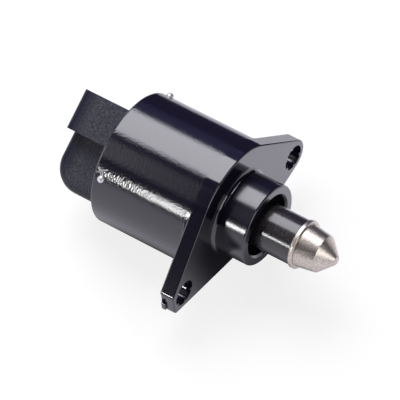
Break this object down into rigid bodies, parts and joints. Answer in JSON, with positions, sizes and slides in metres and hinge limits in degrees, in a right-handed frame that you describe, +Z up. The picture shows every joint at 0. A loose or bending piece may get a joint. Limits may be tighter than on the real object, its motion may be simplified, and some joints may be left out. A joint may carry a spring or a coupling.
{
  "type": "idle air control valve",
  "caption": "Flanged cylindrical stepper valve with a side-facing connector socket and a sliding metal-tipped pintle that meters bypass air for engine idle.",
  "frame": {"origin": "on the valve axis, in the plane of the flange's mounting face", "axes": "+X along the valve axis towards the pintle tip, Y along the line through both bolt holes, +Z up, away from the bolt holes' side of the axis"},
  "size_m": [0.0806, 0.0602, 0.0378],
  "materials": {
    "black_coating": "gloss black coating on a die casting",
    "bush_plastic": "moulded, low friction",
    "bearing_steel": "ground",
    "cage_plastic": "moulded",
    "stator_sheet": "pressed zinc-plated sheet",
    "bobbin_plastic": "moulded, natural colour",
    "copper_wire": "enamelled copper winding",
    "ferrite": "sintered, ground",
    "pintle_plastic": "moulded, half gloss",
    "turned_metal": "turned, bright",
    "connector_plastic": "fine grain moulding",
    "seal_rubber": "moulded",
    "pin_steel": "polished",
    "tinned_brass": "tin-plated strip"
  },
  "bodies": {
    "housing": {"housing": "black_coating", "guide_bush": "bush_plastic", "bearing_outer_ring": "bearing_steel", "spring_washer": "bearing_steel", "stator_cup_front": "stator_sheet", "stator_plate_front": "stator_sheet", "stator_plate_rear": "stator_sheet", "stator_cup_rear": "stator_sheet", "coil_bobbin_front": "bobbin_plastic", "coil_bobbin_rear": "bobbin_plastic", "coil_winding_front": "copper_wire", "coil_winding_rear": "copper_wire", "rear_bush": "bush_plastic", "connector_body": "connector_plastic", "plug_seal": "seal_rubber", "lock_pin_1": "pin_steel", "lock_pin_2": "pin_steel", "lock_pin_3": "pin_steel", "terminal_blade_1": "tinned_brass", "terminal_blade_2": "tinned_brass", "terminal_blade_3": "tinned_brass", "terminal_blade_4": "tinned_brass"},
    "rotor": {"rotor_hub": "bush_plastic", "rotor_magnet": "ferrite", "bearing_inner_ring": "bearing_steel"},
    "ball_cage": {"bearing_balls": "bearing_steel", "bearing_cage": "cage_plastic"},
    "pintle": {"pintle_shaft": "pintle_plastic", "pintle_tip": "turned_metal", "lead_screw": "bearing_steel"}
  },
  "joints": [
    {"name": "rotor_spin", "type": "hinge", "parent": "housing", "child": "rotor", "pos_m": [-0.0196, 0, 0], "axis": [1, 0, 0], "range_deg": [-1080, 1800]},
    {"name": "ball_cage_spin", "type": "hinge", "parent": "housing", "child": "ball_cage", "pos_m": [-0.0104, 0, 0], "axis": [1, 0, 0], "range_deg": [-446, 744]},
    {"name": "pintle_slide", "type": "slide", "parent": "housing", "child": "pintle", "axis": [1, 0, 0], "range_m": [-0.005, 0.003]}
  ],
  "couplings": [
    {"joint": "pintle_slide", "follows": "rotor_spin", "m_per_rad": -0.00015915},
    {"joint": "ball_cage_spin", "follows": "rotor_spin", "ratio": 0.41289}
  ]
}
